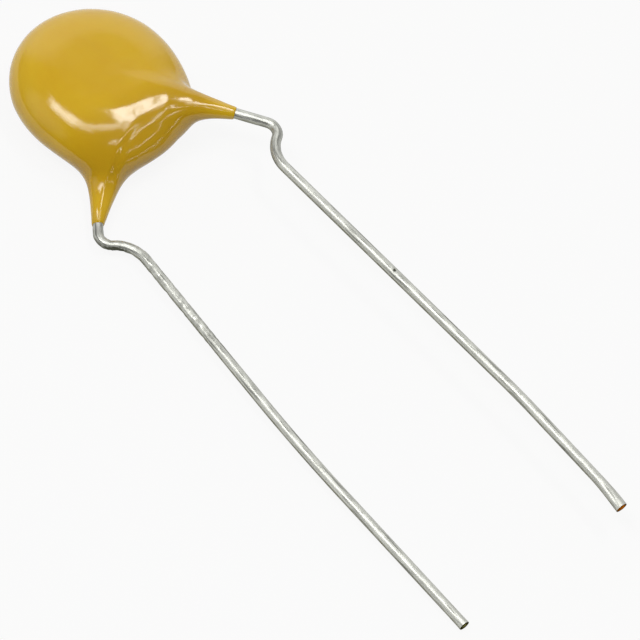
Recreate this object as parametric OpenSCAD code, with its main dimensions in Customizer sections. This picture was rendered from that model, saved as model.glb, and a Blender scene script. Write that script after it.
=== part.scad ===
// Ceramic disc capacitor with two kinked wire leads.
// A fired ceramic disc carries a silver electrode on each face. A tinned copper lead is
// soldered across each electrode, and the whole is dipped in mustard epoxy, which draws out
// into a horn along each lead. The part lies at rest on the rear of its body and the tip of
// its rear lead, with the leads running towards -Y and the front face up.
// Lists of two values give the left (rear) lead first and the right (front) lead second.
// Sizes are in millimetres and angles in degrees.

/* [Dipped body] */
// Diameter of the coated disc
body_d = 9.8; // [9.4:0.1:10.8]
// Thickness of the coated disc over the middles of its faces
body_t = 3.85; // [3.6:0.05:4.6]
// Diameter of the nearly level part of each face, inside the rounded edge
face_flat_d = 4.6; // [3.4:0.1:5.4]
// Rise of each face from the rim to its middle, besides the rounded edge
face_dome = 0.12; // [0:0.02:0.2]

/* [Horns of coating on the leads] */
// Distance from the disc's centre to the end of each horn
horn_reach = [8.55, 7.85]; // [7:0.05:8.8]
// Thickness of the film where each horn ends on its lead
horn_film = 0.05; // [0.03:0.01:0.12]
// Growth of a horn's half width for each millimetre back from its end
horn_flare = 0.16; // [0.12:0.01:0.22]
// Growth of a horn's half thickness for each millimetre back from its end
horn_rise = 0.1; // [0.06:0.01:0.16]
// Greatest half width of a horn at its root
horn_root_w = 1.4; // [1:0.05:1.6]
// Greatest half thickness of a horn at its root
horn_root_t = 0.6; // [0.44:0.01:0.65]
// Depth below the rim at which a horn's root ends
horn_root_depth = 0.75; // [0.4:0.05:1.2]
// Drift of each horn towards the other lead for each millimetre back from its end
horn_lean = [0.16, 0.05]; // [0.02:0.01:0.18]
// Reach over which the horns melt into the body
horn_blend = 2; // [1.4:0.1:2.4]
// Share by which that reach tightens on each horn's outer side, where a crease forms
horn_crease = [0, 0.5]; // [0:0.05:0.6]

/* [Web of coating between the horns] */
// Width of the web
web_w = 6.6; // [5.4:0.1:7.2]
// Distance that the web stands past the rim of the disc
web_out = 0.35; // [0.2:0.05:0.7]
// Depth of the web from its outer edge to its middle
web_depth = 2.05; // [1.7:0.05:2.6]
// Thickness of the web
web_t = 2.1; // [1.6:0.1:2.6]
// Reach over which the web melts into the body
web_blend = 1.65; // [1:0.05:1.9]

/* [Ceramic disc and electrodes] */
// Diameter of the ceramic disc
ceramic_d = 7.6; // [7:0.1:8.2]
// Thickness of the ceramic disc
ceramic_t = 1.5; // [1.2:0.1:1.6]
// Bare ceramic left around each electrode
electrode_margin = 0.4; // [0.2:0.05:0.8]
// Thickness of each fired silver electrode
electrode_t = 0.05; // [0.03:0.01:0.08]

/* [Solder joints] */
// Diameter of each solder joint where it wets its electrode
solder_d = 3; // [2.4:0.1:3.4]
// Solder that covers the top of the lead
solder_cover = 0.1; // [0.05:0.01:0.14]
// Solder between the lead and the electrode
solder_film = 0.05; // [0.03:0.01:0.08]

/* [Leads] */
// Diameter of the lead wire
lead_d = 0.6; // [0.5:0.05:0.65]
// Distance between the leads at the inner side of their kinks
lead_pitch = 9.08; // [8.6:0.02:9.6]
// Distance from the disc's centre to the cut ends of the leads
lead_reach = 38.1; // [32:0.1:44]
// Length of lead that runs on past the disc's centre under the solder
lead_run_in = 1; // [0.6:0.1:1.2]
// Angle at which each lead leaves the disc, from the lead direction outwards
exit_angle = [38.2, 35.6]; // [33:0.1:40]
// Centre line radius of the outer bend of a kink
kink_r = 0.75; // [0.65:0.05:1.1]
// Angle at which a kink leans back inwards
kink_lean = 54.5; // [45:0.5:60]
// Straight wire between the two bends of a kink
kink_straight = 0.15; // [0.1:0.05:0.5]
// Centre line radius of the inner bend of a kink
seat_r = 1.95; // [1.4:0.05:2.4]
// Angle at which each lead spreads outwards below its kink
splay = [3.7, 2.8]; // [2:0.1:5]
// Centre line radius over which each lead's spread is eased out
ease_r = [120, 60]; // [50:5:150]
// Straight length at the end of each lead
straight_end = [10, 7]; // [5:0.5:12]

/* [Hidden] */

// Least straight wire between the end of a horn and its kink
horn_to_kink = 0.25;

// Smoothness of turned and bent surfaces
turned_fn = 72;
wire_fn = 32;
// The runs and bends of a lead meet in balls this much fuller than the wire, and each run
// stops this far short of its joint, so that they join as one solid at any angle
joint_swell = 0.005;
joint_gap = 0.02;

// Points around each ring of the coating and rings from horn to horn
coat_around = 60;
coat_rings = 80;
// Share of the even ring spacing, the rest crowds the rings at the middle of the disc
ring_even = 0.45;
// Crowding of a ring's points towards the side away from the leads
round_crowding = 1.8;
// First ring of the coating, as a multiple of the cap's angle seen from the disc's centre
first_ring = 1.25;
// Halving steps that find the coating's surface along each ray
halvings = 20;
// Cosine of the angle within which a ray is near the axis of a horn
near_axis = 0.9;
// Radius that is inside the coating in every direction, and one that is outside
ray_inner = 0.8;
ray_outer = 10;

LEFT = 0;
RIGHT = 1;
function side(i) = i == LEFT ? -1 : 1;

body_r = body_d / 2;
face_z = body_t / 2;
flat_r = face_flat_d / 2;
wire_r = lead_d / 2;

// Heights above the middle of the ceramic: electrode face, lead centre line, solder top
electrode_z = ceramic_t / 2 + electrode_t;
lead_z = electrode_z + solder_film + wire_r;
solder_h = solder_film + lead_d + solder_cover;
// Ball whose cap is a solder joint
solder_ball_r = (pow(solder_d / 2, 2) + pow(solder_h, 2)) / (2 * solder_h);
// Shift of each solder joint along its lead, towards the horn
solder_shift = solder_d / 2 - lead_run_in;

// Lead path in the plane of one lead, as [outwards, towards the tips]
seat_c_u = lead_pitch / 2 + seat_r;
kink_c_u = seat_c_u - (seat_r + kink_r) * cos(kink_lean) + kink_straight * sin(kink_lean);
function kink_c(i) = let (u = kink_c_u + kink_r * cos(exit_angle[i]))
    [kink_c_u, u / tan(exit_angle[i]) + kink_r * sin(exit_angle[i])];
function run_out(i) = (kink_c_u + kink_r * cos(exit_angle[i])) / sin(exit_angle[i]);
function seat_c(i) = kink_c(i) + [seat_c_u - kink_c_u,
    (kink_r + seat_r) * sin(kink_lean) + kink_straight * cos(kink_lean)];
// End of the inner bend, where the spread starts, and the point where it is eased out
function spread_start(i) = seat_c(i) + seat_r * [-cos(splay[i]), sin(splay[i])];
function spread_end_v(i) = lead_reach - straight_end[i] - ease_r[i] * sin(splay[i]);
function spread_len(i) = (spread_end_v(i) - spread_start(i)[1]) / cos(splay[i]);
function ease_c(i) = spread_start(i) + spread_len(i) * [sin(splay[i]), cos(splay[i])]
    + ease_r[i] * [-cos(splay[i]), sin(splay[i])];

// Direction in which each lead leaves the disc, and the direction square to it, outwards
function along(i) = [side(i) * sin(exit_angle[i]), -cos(exit_angle[i]), 0];
function outwards(i) = [side(i) * cos(exit_angle[i]), sin(exit_angle[i]), 0];
// A horn ends on the straight wire, before its kink
function horn_stop(i) = min(horn_reach[i], run_out(i) - horn_to_kink);
function horn_end(i) = horn_stop(i) * along(i) + [0, 0, side(i) * lead_z];
horn_end_r = wire_r + horn_film;

// Signed depth rules of the coating, negative inside it. Each is near a distance in mm.
function blended(a, b, reach) = let (h = max(reach - abs(a - b), 0) / reach)
    min(a, b) - pow(h, 3) * reach / 6;
function eased(share) = let (s = min(max(share, 0), 1)) s * s * (3 - 2 * s);
function pillow(p) =
    let (from_middle = norm([p[0], p[1]]),
         out = max(from_middle - flat_r, 0) / (body_r - flat_r),
         high = face_z - face_dome * pow(min(from_middle / body_r, 1), 2))
    (norm([out, p[2] / high]) - 1) * high;
function web(p) = (norm([p[0] / (web_w / 2),
    (p[1] + body_r + web_out - web_depth) / web_depth, p[2] / (web_t / 2)]) - 1) * web_t / 2;
// Depth in a horn, and the place across it as a share of its half width
function horn(p, i) =
    let (from_centre = p * along(i), root = body_r - horn_root_depth,
         back = min(max(horn_stop(i) - from_centre, -wire_r), horn_stop(i) - root),
         w = min(horn_end_r + horn_flare * back, horn_root_w),
         t = min(horn_end_r + horn_rise * back, horn_root_t),
         across = (p * outwards(i) + horn_lean[i] * max(back, 0)) / w,
         past_root = max(root - from_centre, 0))
    [(norm([across, (p[2] - side(i) * lead_z) / t, past_root / w]) - 1) * min(w, t), across];
function with_horn(depth, p, i) = let (h = horn(p, i))
    blended(depth, h[0], horn_blend * (1 - horn_crease[i] * eased(h[1])));
function coating(p) = with_horn(with_horn(blended(pillow(p), web(p), web_blend), p, LEFT),
    p, RIGHT);

// Distance at which a ray from the disc's centre leaves the coating, by halving
function crossing(ray, near, far, steps) = steps == 0 ? (near + far) / 2 :
    let (mid = (near + far) / 2)
    coating(mid * ray) > 0 ? crossing(ray, near, mid, steps - 1)
                           : crossing(ray, mid, far, steps - 1);
// A ray near a horn's axis stops at the flat end of that horn
function ray_limit(ray) = min([for (i = [LEFT, RIGHT]) let (c = ray * along(i))
    c > near_axis ? horn_stop(i) / c : ray_outer]);
function coat_point(ray) = crossing(ray, ray_inner, ray_limit(ray), halvings) * ray;

// The rays form a globe's grid whose two poles are the horns. A globe with its poles on
// the line from horn to horn is squeezed towards the leads, so that its poles turn onto
// the horns' axes, and its rings stay circles round them.
pole_l = horn_end(LEFT) / norm(horn_end(LEFT));
pole_r = horn_end(RIGHT) / norm(horn_end(RIGHT));
squeeze = norm(pole_l + pole_r) / 2;
stretch = 1 / sqrt(1 - squeeze * squeeze);
globe_down = (pole_l + pole_r) / norm(pole_l + pole_r);
globe_axis = (pole_r - pole_l) / norm(pole_r - pole_l);
globe_side = cross(globe_axis, globe_down);
function globe_ray(s, turn) =
    let (rise = (exp(2 * s) - 1) / (exp(2 * s) + 1), girth = 2 / (exp(s) + exp(-s)),
         down = girth * cos(turn), across = girth * sin(turn))
    (globe_axis * rise + globe_side * across) / (stretch * (1 + squeeze * down))
    + globe_down * (down + squeeze) / (1 + squeeze * down);

nearer_end = min(horn_stop(LEFT), horn_stop(RIGHT));
ring_limit = -ln(tan(stretch * first_ring * atan(horn_end_r / nearer_end) / 2));
function ring_s(k) = let (x = 2 * k / (coat_rings - 1) - 1)
    ring_limit * (ring_even * x + (1 - ring_even) * pow(x, 3));
function turn(j) = let (even = 360 * (j + 0.5) / coat_around - 180)
    2 * atan(round_crowding * tan(even / 2));

// Circle where horn i ends on its lead, its points in step with the globe's
function cap_ring(i) =
    let (a = along(i), v = globe_side - (globe_side * a) * a, v1 = v / norm(v),
         d = globe_down - (globe_down * a) * a, u = d - (d * v1) * v1, u1 = u / norm(u))
    [for (j = [0:coat_around - 1])
        horn_end(i) + horn_end_r * (cos(turn(j)) * u1 + sin(turn(j)) * v1)];
function coat_points() = concat(cap_ring(LEFT),
    [for (k = [0:coat_rings - 1], j = [0:coat_around - 1])
        coat_point(globe_ray(ring_s(k), turn(j)))],
    cap_ring(RIGHT));
function ring_faces() = [for (k = [0:coat_rings], j = [0:coat_around - 1])
    let (a = k * coat_around + j, b = k * coat_around + (j + 1) % coat_around,
         c = b + coat_around, d = a + coat_around)
    each [[a, b, c], [a, c, d]]];
function cap_faces() = [[for (j = [coat_around - 1:-1:0]) j],
    [for (j = [0:coat_around - 1]) (coat_rings + 1) * coat_around + j]];

// Rest. The underside is probed where it swells round the rear lead, and the body tips
// until the end of the rear lead is level with it.
lead_low = lead_z + wire_r;
function underside(x, y, high, low, steps) = steps == 0 ? -(high + low) / 2 :
    let (mid = (high + low) / 2)
    coating([x, y, mid]) > 0 ? underside(x, y, high, mid, steps - 1)
                             : underside(x, y, mid, low, steps - 1);
probe_step = 0.3;
tip_slope = max([for (x = [-flat_r:probe_step:0], y = [-flat_r - 1:probe_step:0])
    (underside(x, y, 0, -body_t, halvings) - lead_low) / (lead_reach + y)]);
rest_pitch = atan(tip_slope);
rest_z = lead_reach * sin(rest_pitch) + lead_low * cos(rest_pitch);
rest_y = ((lead_reach - body_r) * cos(rest_pitch) + lead_low * sin(rest_pitch)) / 2;
module at_rest() {
    translate([0, rest_y, rest_z]) rotate([rest_pitch, 0, 0]) children();
}

// A straight length of wire from point [u, v], heading outwards by the given angle. It
// stops a little short of each joint with a bend, and the ball there bridges the gap.
module wire_run(from, heading, length, first_gap, last_gap) {
    translate([from[0], -from[1], 0]) rotate([90, 0, heading])
        translate([0, 0, first_gap])
            cylinder(h = length - first_gap - last_gap, d = lead_d, $fn = wire_fn);
}

// A bend of wire about centre [u, v], swept from one polar angle through another, with a
// ball at each of its ends
module wire_bend(centre, radius, start, sweep, fn) {
    translate([centre[0], -centre[1], 0]) rotate([0, 0, start]) {
        rotate_extrude(angle = sweep, $fn = fn)
            translate([radius, 0]) circle(d = lead_d, $fn = wire_fn);
        for (end = [0, sweep]) rotate([0, 0, end]) translate([radius, 0, 0])
            sphere(r = wire_r + joint_swell, $fn = wire_fn);
    }
}

// One formed lead, drawn as the right-hand one and mirrored for the left
module formed_wire(i) {
    exit_uv = [sin(exit_angle[i]), cos(exit_angle[i])];
    lean_uv = [cos(kink_lean), sin(kink_lean)];
    mirror([i == LEFT ? 1 : 0, 0, 0]) translate([0, 0, side(i) * lead_z]) {
        wire_run(-lead_run_in * exit_uv, exit_angle[i], run_out(i) + lead_run_in,
                 0, joint_gap);
        wire_bend(kink_c(i), kink_r, -kink_lean, kink_lean + exit_angle[i], turned_fn);
        wire_run(kink_c(i) + kink_r * lean_uv, -kink_lean, kink_straight,
                 joint_gap, joint_gap);
        wire_bend(seat_c(i), seat_r, 180 - kink_lean, kink_lean + splay[i], turned_fn);
        wire_run(spread_start(i), splay[i], spread_len(i), joint_gap, joint_gap);
        wire_bend(ease_c(i), ease_r[i], 0, splay[i], 5 * turned_fn);
        wire_run([ease_c(i)[0] + ease_r[i], lead_reach - straight_end[i]], 0,
                 straight_end[i], joint_gap, 0);
    }
}

// The solid ceramic, as pressed and fired
module ceramic_blank() {
    cylinder(h = ceramic_t, d = ceramic_d, center = true, $fn = turned_fn);
}

// A fired silver electrode on one face
module electrode_film(i) {
    translate([0, 0, side(i) * (electrode_z - electrode_t / 2)])
        cylinder(h = electrode_t, d = ceramic_d - 2 * electrode_margin, center = true,
                 $fn = turned_fn);
}

// The dome of solder on one electrode, before the lead passes through it
module solder_dome(i) {
    translate(solder_shift * along(i))
        mirror([0, 0, i == LEFT ? 1 : 0])
            translate([0, 0, electrode_z])
                intersection() {
                    translate([0, 0, solder_h - solder_ball_r])
                        sphere(r = solder_ball_r, $fn = turned_fn);
                    cylinder(h = solder_h + 1, r = solder_d, $fn = turned_fn);
                }
}

module ceramic_disc() {
    color("#b9a184") at_rest() ceramic_blank();
}

module front_electrode() {
    color("#c9c9c4") at_rest() electrode_film(RIGHT);
}

module rear_electrode() {
    color("#c9c9c4") at_rest() electrode_film(LEFT);
}

module front_solder_joint() {
    color("#a9aaad") at_rest() difference() {
        solder_dome(RIGHT);
        formed_wire(RIGHT);
    }
}

module rear_solder_joint() {
    color("#a9aaad") at_rest() difference() {
        solder_dome(LEFT);
        formed_wire(LEFT);
    }
}

module left_lead() {
    color("#cfd2cf") at_rest() formed_wire(LEFT);
}

module right_lead() {
    color("#cfd2cf") at_rest() formed_wire(RIGHT);
}

// The dipped coating, hollow where the ceramic, electrodes, solder and leads fill it
module epoxy_coating() {
    color("#cfa72f") at_rest() difference() {
        polyhedron(points = coat_points(), faces = concat(cap_faces(), ring_faces()));
        ceramic_blank();
        for (i = [LEFT, RIGHT]) {
            electrode_film(i);
            solder_dome(i);
            formed_wire(i);
        }
    }
}

ceramic_disc();
front_electrode();
rear_electrode();
front_solder_joint();
rear_solder_joint();
left_lead();
right_lead();
epoxy_coating();
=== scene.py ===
# %% [markdown]
# # A ceramic disc capacitor, dressed for its portrait
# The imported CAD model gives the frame: eight solids, in metres, lying at rest on the table.
# This script gives them their looks. The dipped coating and the two formed wires are made
# again as finer meshes in the same places. The ceramic, the electrodes and the solder stay
# as they are, sealed inside, and only get their materials.

# %% Load the frame
import math

import bpy
from mathutils import Matrix, Vector


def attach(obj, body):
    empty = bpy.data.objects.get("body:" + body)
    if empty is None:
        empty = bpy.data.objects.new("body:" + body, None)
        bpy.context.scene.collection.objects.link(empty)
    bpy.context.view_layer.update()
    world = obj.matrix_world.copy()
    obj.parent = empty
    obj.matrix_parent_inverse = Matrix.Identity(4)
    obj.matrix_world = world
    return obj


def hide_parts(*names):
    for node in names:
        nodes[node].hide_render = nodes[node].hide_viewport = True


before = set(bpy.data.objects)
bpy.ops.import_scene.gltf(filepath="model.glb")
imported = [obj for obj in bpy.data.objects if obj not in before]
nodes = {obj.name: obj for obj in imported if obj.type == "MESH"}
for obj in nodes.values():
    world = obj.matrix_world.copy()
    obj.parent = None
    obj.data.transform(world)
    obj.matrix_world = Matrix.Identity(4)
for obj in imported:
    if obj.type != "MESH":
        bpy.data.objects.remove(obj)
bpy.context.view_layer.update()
print("frame nodes:", ", ".join(sorted(nodes)))

# %% [markdown]
# Colours are written as sRGB hex codes, the way a colour picker shows them. Cycles works in
# linear light, so one function turns a code into linear values.

# %% Colours
def tone(code):
    parts = [int(code[k:k + 2], 16) / 255 for k in (1, 3, 5)]
    return tuple(v / 12.92 if v <= 0.04045 else ((v + 0.055) / 1.055) ** 2.4
                 for v in parts) + (1.0,)


print("mustard in linear light:", [round(v, 3) for v in tone("#cea41a")])

# %% [markdown]
# Node trees are drawn by one small function. It adds a node, applies its settings, and for
# each input either links another node or socket to it, or sets its value. The nodes and
# the settings that come up most get short names.

# %% One function that adds a node
def add(tree, kind, inputs=(), **settings):
    node = tree.nodes.new(kind)
    for name, value in settings.items():
        setattr(node, name, value)
    for key, value in (inputs.items() if isinstance(inputs, dict) else enumerate(inputs)):
        if isinstance(value, bpy.types.Node):
            value = value.outputs[0]
        if isinstance(value, bpy.types.NodeSocket):
            tree.links.new(value, node.inputs[key])
        elif value is not None:
            node.inputs[key].default_value = value
    return node


MATH, VECTOR, NOISE = "ShaderNodeMath", "ShaderNodeVectorMath", "ShaderNodeTexNoise"
RANGE, COMBINE, SEPARATE = "ShaderNodeMapRange", "ShaderNodeCombineXYZ", "ShaderNodeSeparateXYZ"
STORE, RECALL = "GeometryNodeStoreNamedAttribute", "GeometryNodeInputNamedAttribute"
TIMES, TIMES_PLUS = {"operation": "MULTIPLY"}, {"operation": "MULTIPLY_ADD"}
MINUS, PARTS = {"operation": "SUBTRACT"}, {"operation": "DIVIDE"}
DOT, EASED = {"operation": "DOT_PRODUCT"}, {"interpolation_type": "SMOOTHSTEP"}
print("nodes that come up most:", MATH, VECTOR, NOISE, RANGE)

# %% [markdown]
# ## Sizes
# The sizes are those of the CAD source. The rules below are worked in millimetres, in the
# disc's own frame: the disc's middle is the origin, X points towards the front lead, the
# leads run towards -Y, and Z leaves the front face. Pairs hold the left, rear lead first.

# %% Sizes of the body and the wires
MM = 0.001
BODY_R, FACE_Z, FLAT_R = 9.8 / 2, 3.85 / 2, 4.6 / 2
WIRE_R, LEAD_Z = 0.6 / 2, 1.15
EXIT = [math.radians(38.2), math.radians(35.6)]
SIDE = [-1, 1]

# How the part lies: tipped a little until the rear lead's end is down
PITCH, REST_Y, REST_Z = 0.0167789, 16.6098, 2.08904
at_rest = Matrix.Translation((0, REST_Y, REST_Z)) @ Matrix.Rotation(PITCH, 4, "X")
to_row = Matrix.Scale(MM, 4) @ at_rest


def along(i):
    return Vector((SIDE[i] * math.sin(EXIT[i]), -math.cos(EXIT[i]), 0))


def outwards(i):
    return Vector((SIDE[i] * math.cos(EXIT[i]), math.sin(EXIT[i]), 0))


print("disc's middle in the row frame, in metres:", [round(v, 5) for v in to_row.translation])

# %% [markdown]
# ## The dipped coating
# On the real part the disc hangs from its two wires, goes into a bath of epoxy and comes out
# wet. The film rounds off the disc's edge, hangs as a web between the wires, and is drawn out
# along each wire into a horn. Modelling that by hand would take many sculpted blends. A rule
# is shorter and smoother: a depth, negative inside the epoxy, for each of the pillow, the web
# and the horns, and a smooth minimum that melts them into one another.
#
# The first tree is the rule of one horn: an ellipse round the wire that widens with the
# distance back from the horn's end, and leans out from the wire a little. It is a node
# group, so that it is written once and used twice.

# %% The rule of one horn
def interface(tree, inputs, outputs):
    kinds = {float: "NodeSocketFloat", Vector: "NodeSocketVector", int: "NodeSocketInt",
             str: "NodeSocketMaterial", bool: "NodeSocketGeometry"}
    for direction, sockets in (("INPUT", inputs), ("OUTPUT", outputs)):
        for name, kind in sockets.items():
            tree.interface.new_socket(name, in_out=direction, socket_type=kinds[kind])


HORN_REACH, HORN_LEAN = [8.55, 7.85], [0.16, 0.05]
FILM = 0.05
HORN_SIZES = {"End radius": WIRE_R + FILM, "Flare": 0.16, "Rise": 0.1,
              "Root width": 1.4, "Root thickness": 0.6, "Root": BODY_R - 0.75,
              "End softness": 0.09}
horn_rule = bpy.data.node_groups.new("Horn depth", "GeometryNodeTree")
interface(horn_rule, {
    "Point": Vector, "Along": Vector, "Outwards": Vector, "Height": float, "Reach": float,
    "Lean": float, **dict.fromkeys(HORN_SIZES, float),
}, {"Depth": float, "Across": float})


def draw_horn_rule(t):
    given = add(t, "NodeGroupInput").outputs
    out_along = add(t, VECTOR, [given["Point"], given["Along"]], **DOT).outputs["Value"]
    sideways = add(t, VECTOR, [given["Point"], given["Outwards"]], **DOT).outputs["Value"]
    height = add(t, SEPARATE, [given["Point"]]).outputs["Z"]
    # Distance back from the end, and the half width and half thickness there
    back = add(t, MATH, [given["Reach"], out_along], **MINUS)
    deepest = add(t, MATH, [given["Reach"], given["Root"]], **MINUS)
    back = add(t, MATH, [back, deepest], operation="MINIMUM")
    back = add(t, MATH, [back, -WIRE_R], operation="MAXIMUM")
    width = add(t, MATH, [given["Flare"], back, given["End radius"]], **TIMES_PLUS)
    width = add(t, MATH, [width, given["Root width"]], operation="MINIMUM")
    thick = add(t, MATH, [given["Rise"], back, given["End radius"]], **TIMES_PLUS)
    thick = add(t, MATH, [thick, given["Root thickness"]], operation="MINIMUM")
    # Place across the horn, over it, and past its root, each as a share of its size
    drift = add(t, MATH, [back, 0.0], operation="MAXIMUM")
    across = add(t, MATH, [given["Lean"], drift, sideways], **TIMES_PLUS)
    over = add(t, MATH, [height, given["Height"]], **MINUS)
    past = add(t, MATH, [given["Root"], out_along], **MINUS)
    past = add(t, MATH, [past, 0.0], operation="MAXIMUM")
    across = add(t, MATH, [across, width], **PARTS)
    shares = add(t, COMBINE, [across, add(t, MATH, [over, thick], **PARTS),
                              add(t, MATH, [past, width], **PARTS)])
    length = add(t, VECTOR, [shares], operation="LENGTH").outputs["Value"]
    beyond = add(t, MATH, [length, 1.0], **MINUS)
    thinner = add(t, MATH, [width, thick], operation="MINIMUM")
    depth = add(t, MATH, [beyond, thinner], **TIMES)
    # The horn stops at its end, with a soft edge where the film wets the wire
    past_end = add(t, MATH, [out_along, given["Reach"]], **MINUS)
    depth = add(t, MATH, [depth, past_end, given["End softness"]], operation="SMOOTH_MAX")
    add(t, "NodeGroupOutput", [depth, across])


draw_horn_rule(horn_rule)
print("horn rule:", len(horn_rule.nodes), "nodes")

# %% [markdown]
# The body is a pillow: two faces that are domed by a tenth of a millimetre, and a quarter
# ellipse from each down to the rim. The web is a low ellipsoid that hangs out past the rim
# between the horns, where the wet film sagged.

# %% The pillow and the web
WEB_W, WEB_OUT, WEB_DEPTH, WEB_T = 6.6, 0.35, 2.05, 2.1
COAT_SIZES = {
    "Body radius": BODY_R, "Face height": FACE_Z, "Flat radius": FLAT_R, "Face dome": 0.12,
    "Web half width": WEB_W / 2, "Web middle": -(BODY_R + WEB_OUT - WEB_DEPTH),
    "Web depth": WEB_DEPTH, "Web half thickness": WEB_T / 2, "Web blend": 1.65,
    "Horn blend": 2.0, "Ripple height": 0.04, "Ripple scale": 0.45, "Fold height": 0.06}
HORN_CREASE = [0.0, 0.5]


def draw_pillow(t, given, x, y, z):
    radius = add(t, VECTOR, [add(t, COMBINE, [x, y, 0.0])],
                 operation="LENGTH").outputs["Value"]
    out = add(t, MATH, [radius, given["Flat radius"]], **MINUS)
    out = add(t, MATH, [out, 0.0], operation="MAXIMUM")
    shoulder = add(t, MATH, [given["Body radius"], given["Flat radius"]], **MINUS)
    share = add(t, MATH, [radius, given["Body radius"]], **PARTS)
    share = add(t, MATH, [add(t, MATH, [share, 1.0], operation="MINIMUM"), 2.0],
                operation="POWER")
    sag = add(t, MATH, [share, given["Face dome"]], **TIMES)
    high = add(t, MATH, [given["Face height"], sag], **MINUS)
    pillow = add(t, COMBINE, [add(t, MATH, [out, shoulder], **PARTS),
                              add(t, MATH, [z, high], **PARTS), 0.0])
    pillow = add(t, VECTOR, [pillow], operation="LENGTH").outputs["Value"]
    pillow = add(t, MATH, [pillow, 1.0], **MINUS)
    return add(t, MATH, [pillow, high], **TIMES)


def draw_web(t, given, x, y, z):
    down = add(t, MATH, [y, given["Web middle"]], **MINUS)
    web = add(t, COMBINE, [
        add(t, MATH, [x, given["Web half width"]], **PARTS),
        add(t, MATH, [down, given["Web depth"]], **PARTS),
        add(t, MATH, [z, given["Web half thickness"]], **PARTS)])
    web = add(t, VECTOR, [web], operation="LENGTH").outputs["Value"]
    web = add(t, MATH, [web, 1.0], **MINUS)
    return add(t, MATH, [web, given["Web half thickness"]], **TIMES)


print("sizes of the coating:", COAT_SIZES)

# %% [markdown]
# A cured dip is never a perfect surface. Two faint noises are added to the depth. One is a
# ripple, whose slow waves make the edges of reflections wander. The other makes the folds
# of the web, where the film wrinkled as it sagged: it is stretched from horn to horn and
# bowed as the web is, so that its ridges catch the lamps in long thin streaks.

# %% Ripple and folds
FOLD_BOW, FOLD_PER_MM_ALONG, FOLD_PER_MM_DOWN = 0.1, 0.28, 2.0
FOLDS_START, FOLDS_FULL = -3.2, -4.0


def draw_ripple(t, given, depth):
    ripple = add(t, NOISE, {"Vector": given["Point"], "Scale": given["Ripple scale"],
                 "Detail": 1.0, "Roughness": 0.4})
    wave = add(t, MATH, [ripple.outputs[0], 0.5], **MINUS)
    return add(t, MATH, [wave, given["Ripple height"], depth], **TIMES_PLUS)


def draw_folds(t, given, x, y, depth):
    bowed = add(t, MATH, [add(t, MATH, [x, 2.0], operation="POWER"), FOLD_BOW, y], **TIMES_PLUS)
    fold_at = add(t, COMBINE, [
        add(t, MATH, [x, FOLD_PER_MM_ALONG], **TIMES),
        add(t, MATH, [bowed, FOLD_PER_MM_DOWN], **TIMES), 0.0])
    fold = add(t, NOISE, {"Vector": fold_at, "Scale": 1.0, "Detail": 1.0,
               "Roughness": 0.4})
    on_web = add(t, RANGE, {"Value": bowed, "From Min": FOLDS_START,
                 "From Max": FOLDS_FULL}, **EASED)
    fold = add(t, MATH, [fold.outputs[0], 0.5], **MINUS)
    fold = add(t, MATH, [fold, on_web], **TIMES)
    return add(t, MATH, [fold, given["Fold height"], depth], **TIMES_PLUS)


print("folds start", -FOLDS_START, "mm below the disc's middle, full at", -FOLDS_FULL)

# %% [markdown]
# The whole rule melts the pillow, the web and both horns together. The front horn's outer
# side meets the body in a tighter crease, so the reach of its melting shrinks on that side.

# %% The rule of the whole coating
coat_rule = bpy.data.node_groups.new("Coating depth", "GeometryNodeTree")
interface(coat_rule, {"Point": Vector, **dict.fromkeys(COAT_SIZES, float)}, {"Depth": float})


def draw_coat_rule(t):
    given = add(t, "NodeGroupInput").outputs
    place = add(t, SEPARATE, [given["Point"]]).outputs
    x, y, z = place["X"], place["Y"], place["Z"]
    pillow = draw_pillow(t, given, x, y, z)
    web = draw_web(t, given, x, y, z)
    depth = add(t, MATH, [pillow, web, given["Web blend"]], operation="SMOOTH_MIN")
    for i in (0, 1):
        horn = add(t, "GeometryNodeGroup", {
            "Point": given["Point"], "Along": along(i), "Outwards": outwards(i),
            "Height": SIDE[i] * LEAD_Z, "Reach": HORN_REACH[i], "Lean": HORN_LEAN[i],
            **HORN_SIZES}, node_tree=horn_rule)
        tighter = add(t, MATH, [given["Horn blend"], 1 - HORN_CREASE[i]], **TIMES)
        blend = add(t, RANGE, {
            "Value": horn.outputs["Across"], "To Min": given["Horn blend"],
            "To Max": tighter}, **EASED)
        depth = add(t, MATH, [depth, horn, blend], operation="SMOOTH_MIN")
    depth = draw_ripple(t, given, depth)
    add(t, "NodeGroupOutput", [draw_folds(t, given, x, y, depth)])


draw_coat_rule(coat_rule)
print("coating rule:", len(coat_rule.nodes), "nodes")

# %% [markdown]
# The coating bulges one way from the disc's middle, so each ray from there leaves it once.
# A globe of points is laid round the middle with its two poles on the ends of the horns, so
# that its rings run round the horns as well as round the body.

# %% A globe whose poles are the horns
ends = [HORN_REACH[i] * along(i) + Vector((0, 0, SIDE[i] * LEAD_Z)) for i in (0, 1)]
pole_l, pole_r = (e.normalized() for e in ends)
globe_down = (pole_l + pole_r).normalized()
globe_axis = (pole_r - pole_l).normalized()
globe_side = globe_axis.cross(globe_down)
SQUEEZE = (pole_l + pole_r).length / 2
STRETCH = 1 / math.sqrt(1 - SQUEEZE ** 2)


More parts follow.
